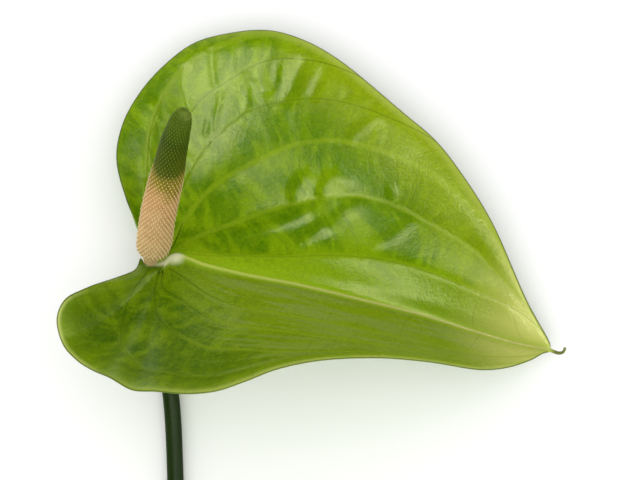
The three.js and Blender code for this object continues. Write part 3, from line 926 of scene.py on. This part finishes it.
def near_tint(graph, tone):
    """The near half's darker green, with greyish streaks of painted sheen along it towards the tip, and
    painted shade round the neck.
    """
    along, margin = graph.measure("along"), graph.measure("margin")
    tint = graph.mix(graph.between(tone, 0.0, 0.9), colour("near dark"), colour("near pale"))
    tint = graph.mix(graph.fade(margin, 1.0, 12.0, 0.5), tint, colour("near margin"))
    tint = graph.mix(graph.between(along, 0.4, 0.75, 0.0, 0.75), tint, colour("near tip"))
    # Painted sheen: greyish streaks along the near half towards the tip.
    lengthwise, sideways = graph.times(along, 5.0), graph.times(graph.measure("across"), 3.0)
    place = graph.place(lengthwise, sideways, graph.measure("tone"))
    streaks = graph.between(graph.noise(2.0, 3.0, place=place), 0.42, 0.6, 0.0, 0.6)
    streaks = graph.times(streaks, graph.between(along, 0.42, 0.6))
    streaks = graph.times(streaks, graph.between(margin, 3.0, 10.0))
    tint = graph.mix(streaks, tint, colour("near painted sheen streaks"))
    # Painted shade: darker green round the neck, in the deep dimple by the spadix's foot.
    return graph.mix(graph.fade(graph.measure("neck"), 3.0, 15.0, 0.5), tint, colour("near neck painted shade"))


def grained(graph, body, mottle, stipple):
    """Fine grain of the waxy skin: soft mottling, a net of small veins and dark pores."""
    body = graph.mix(graph.between(mottle, 0.3, 0.75, 0.0, 0.3), body, colour("mottle"))
    body = graph.mix(graph.net(620, 0.14, 0.12), body, colour("net"))
    return graph.mix(graph.fade(stipple, 0.35, 0.65, 0.35), body, colour("stipple"), "MULTIPLY")


def with_pale_edges(graph, body, near):
    """The pale tip and rim, and the brighter rim of the near half's round lobe."""
    along, margin = graph.measure("along"), graph.measure("margin")
    body = graph.mix(graph.between(along, 0.83, 0.98, 0.0, 0.85), body, colour("tip"))
    rim = graph.times(graph.fade(margin, 0.4, 3.0, 0.45), graph.between(along, 0.25, 0.5, 0.1, 1.0))
    body = graph.mix(rim, body, colour("rim"))
    lobe = graph.times(near, graph.times(graph.between(along, 0.12, 0.18), graph.fade(along, 0.27, 0.33)))
    lobe_rim = graph.times(lobe, graph.fade(margin, 0.3, 1.6, 0.6))
    return graph.mix(lobe_rim, body, colour("lobe rim"))


def with_veins(graph, body, vein):
    """Main veins, some a pale band and some a dark thread, and dark cross veins between them."""
    paleness = graph.measure("line")
    band = graph.times(graph.fade(vein, 0.1, 1.2, 0.45), paleness)
    body = graph.mix(band, body, colour("pale vein"))
    thread = graph.times(graph.fade(vein, 0.06, 0.3, 0.5), graph.minus(1.0, paleness))
    body = graph.mix(thread, body, colour("dark vein"))
    phase = graph.measure("cross")
    from_cross_vein = graph.times(graph.size(graph.minus(phase, graph.math("ROUND", phase))), CELL_LENGTH)
    cross_line = graph.times(graph.fade(from_cross_vein, 0.04, 0.22, 0.25), clear_of_vein(graph, vein))
    return graph.mix(cross_line, body, colour("cross vein"))


def with_midrib(graph, body):
    """The pale midrib with its halo, the callus at its base, the dark edge line and the brown tail."""
    along, midrib = graph.measure("along"), graph.measure("midrib")
    body = graph.mix(graph.fade(midrib, 0.6, 3.2, 0.5), body, colour("midrib halo"))
    line = graph.times(graph.fade(midrib, 0.1, 1.1, 0.8), graph.between(along, 0.42, 0.75, 1.0, 0.8))
    tipwards = graph.between(along, 0.5, 0.8)
    tint = graph.mix(tipwards, colour("midrib by the neck"), colour("midrib by the tip"))
    body = graph.mix(line, body, tint)
    body = graph.mix(graph.fade(graph.measure("callus"), 0.3, 1.7, 0.95), body, colour("callus"))
    body = graph.mix(graph.fade(graph.measure("margin"), 0.1, 0.42, 0.85), body, colour("edge"))
    return graph.mix(graph.between(graph.measure("neck"), 114.2, 116.5, 0.0, 0.8), body, colour("tail"))


def back_tint(graph, vein, patches):
    """The paler, matt green of the blade's back, where the veins and midrib are paler still."""
    tint = graph.mix(graph.between(patches, 0.3, 0.7), colour("back dark"), colour("back pale"))
    tint = graph.mix(graph.fade(vein, 0.1, 0.7, 0.6), tint, colour("back vein"))
    return graph.mix(graph.fade(graph.measure("midrib"), 0.8, 2.2, 0.8), tint, colour("back midrib"))


def spadix_material():
    graph = Graph("spadix_florets_cream_to_green")
    share = graph.measure("share")
    drift = graph.plus(share, graph.between(graph.noise(160, 2.0), 0.3, 0.7, -0.03, 0.03))
    ramp = graph.node("ShaderNodeValToRGB", {"Fac": drift})
    stops = [(position, linear(shade)) for position, shade in SPADIX_COLOURS]
    elements = ramp.color_ramp.elements
    elements[0].position, elements[0].color = stops[0]
    elements[1].position, elements[1].color = stops[-1]
    for position, shade in stops[1:-1]:
        elements.new(position).color = shade
    shaded = graph.between(graph.measure("floret"), 0.0, 1.0, 0.0, 0.25)
    body = graph.mix(shaded, ramp.outputs["Color"], colour("floret shade"), "MULTIPLY")
    # Painted shade: the furrows between the florets are darkened.
    furrow = graph.fade(graph.measure("pillow"), 0.0, 0.5, 0.3)
    body = graph.mix(furrow, body, colour("painted shade between florets"), "MULTIPLY")
    tip = graph.mix(graph.between(share, 0.55, 0.68), colour("ripe stigma"), colour("green stigma"))
    body = graph.mix(graph.between(graph.measure("stigma"), 0.3, 0.7, 0.0, 0.8), body, tip)
    roughness = graph.between(share, 0.5, 0.75, 0.6, 0.5)
    return graph.finish(body, roughness, graph.noise(2400, 2.0), depth=0.00006, Specular_IOR_Level=0.06)


def stem_material():
    graph = Graph("stem_dark_green")
    share = graph.measure("share")
    streaks = graph.noise(260, 4.0, 0.6, stretch=(1.0, 0.06, 1.0))
    # The stem's own dark green, made darker still as painted shade.
    body = graph.mix(graph.between(streaks, 0.3, 0.7), colour("stem dark"), colour("stem pale"))
    body = graph.mix(graph.fade(share, 0.0, 0.12, 0.5), body, colour("stem top"))
    speck = graph.noise(1800, 2.0, 0.6)
    body = graph.mix(graph.between(speck, 0.6, 0.75, 0.0, 0.2), body, colour("stem speck"))
    body = graph.mix(graph.between(share, 0.9985, 0.9999), body, colour("stem cut"))
    roughness = graph.between(streaks, 0.3, 0.7, 0.35, 0.5)
    return graph.finish(body, roughness, speck, depth=0.00005, Specular_IOR_Level=0.08)


def floor_material():
    graph = Graph("studio_white")
    first, second = [(white, white, white, 1.0) for white in FLOOR_WHITES]
    shade = graph.mix(graph.between(graph.noise(3.0, 2.0), 0.3, 0.7), first, second)
    return graph.finish(shade, graph.between(graph.noise(6.0, 2.0), 0.3, 0.7, 0.85, 0.95))


def make_floor():
    mesh = bpy.data.meshes.new("studio_floor")
    corners = [(x * FLOOR_HALF, y * FLOOR_HALF, 0) for x, y in ((-1, -1), (1, -1), (1, 1), (-1, 1))]
    mesh.from_pydata(corners, [], [(0, 1, 2, 3)])
    floor = bpy.data.objects.new("studio_floor", mesh)
    bpy.context.scene.collection.objects.link(floor)
    mesh.materials.append(floor_material())


def make_light(name, towards, distance, size, power):
    """A square soft light that shines on the blade from the given direction."""
    light = bpy.data.lights.new(name, "AREA")
    light.shape = "SQUARE"
    light.size = size
    light.energy = power
    lamp = bpy.data.objects.new(name, light)
    bpy.context.scene.collection.objects.link(lamp)
    towards = Vector(towards).normalized()
    lamp.location = Vector(BLADE_MIDDLE) + distance * towards
    lamp.rotation_euler = towards.to_track_quat("Z", "Y").to_euler()
    return lamp


def make_lights():
    for name, setting in SOFTBOXES.items():
        make_light(name, **setting).visible_diffuse = False
    make_light("ceiling_light", **CEILING_LIGHT).visible_glossy = False
    world = bpy.data.worlds.new("studio_world")
    bpy.context.scene.world = world
    world.use_nodes = True
    background = world.node_tree.nodes["Background"]
    background.inputs["Color"].default_value = (1, 1, 1, 1)
    background.inputs["Strength"].default_value = SURROUNDINGS
    world.cycles_visibility.glossy = False


def make_camera():
    right = np.array([1.0, 0, 0])
    up = np.array([0, math.sin(VIEW_ELEVATION), math.cos(VIEW_ELEVATION)])
    back = np.array([0, -math.cos(VIEW_ELEVATION), math.sin(VIEW_ELEVATION)])
    aside = (IMAGE_SIZE[0] / 2 - NECK_PIXEL[0]) * MM_PER_PIXEL
    above = (NECK_PIXEL[1] - IMAGE_SIZE[1] / 2) * MM_PER_PIXEL
    place = NECK + right * aside + up * above + back * VIEW_DISTANCE
    camera = bpy.data.cameras.new("camera")
    camera.sensor_width = SENSOR
    camera.lens = VIEW_DISTANCE / MM_PER_PIXEL * SENSOR / IMAGE_SIZE[0]
    camera.clip_start = NEAREST_SEEN
    viewer = bpy.data.objects.new("camera", camera)
    bpy.context.scene.collection.objects.link(viewer)
    viewer.location = Vector(place * MM)
    viewer.rotation_euler = (math.pi / 2 - VIEW_ELEVATION, 0, 0)
    bpy.context.scene.camera = viewer


make_camera()
make_floor()
make_lights()
make_spathe().data.materials.append(spathe_material())
make_spadix().data.materials.append(spadix_material())
make_stem().data.materials.append(stem_material())
bpy.context.scene.view_settings.view_transform = "Standard"
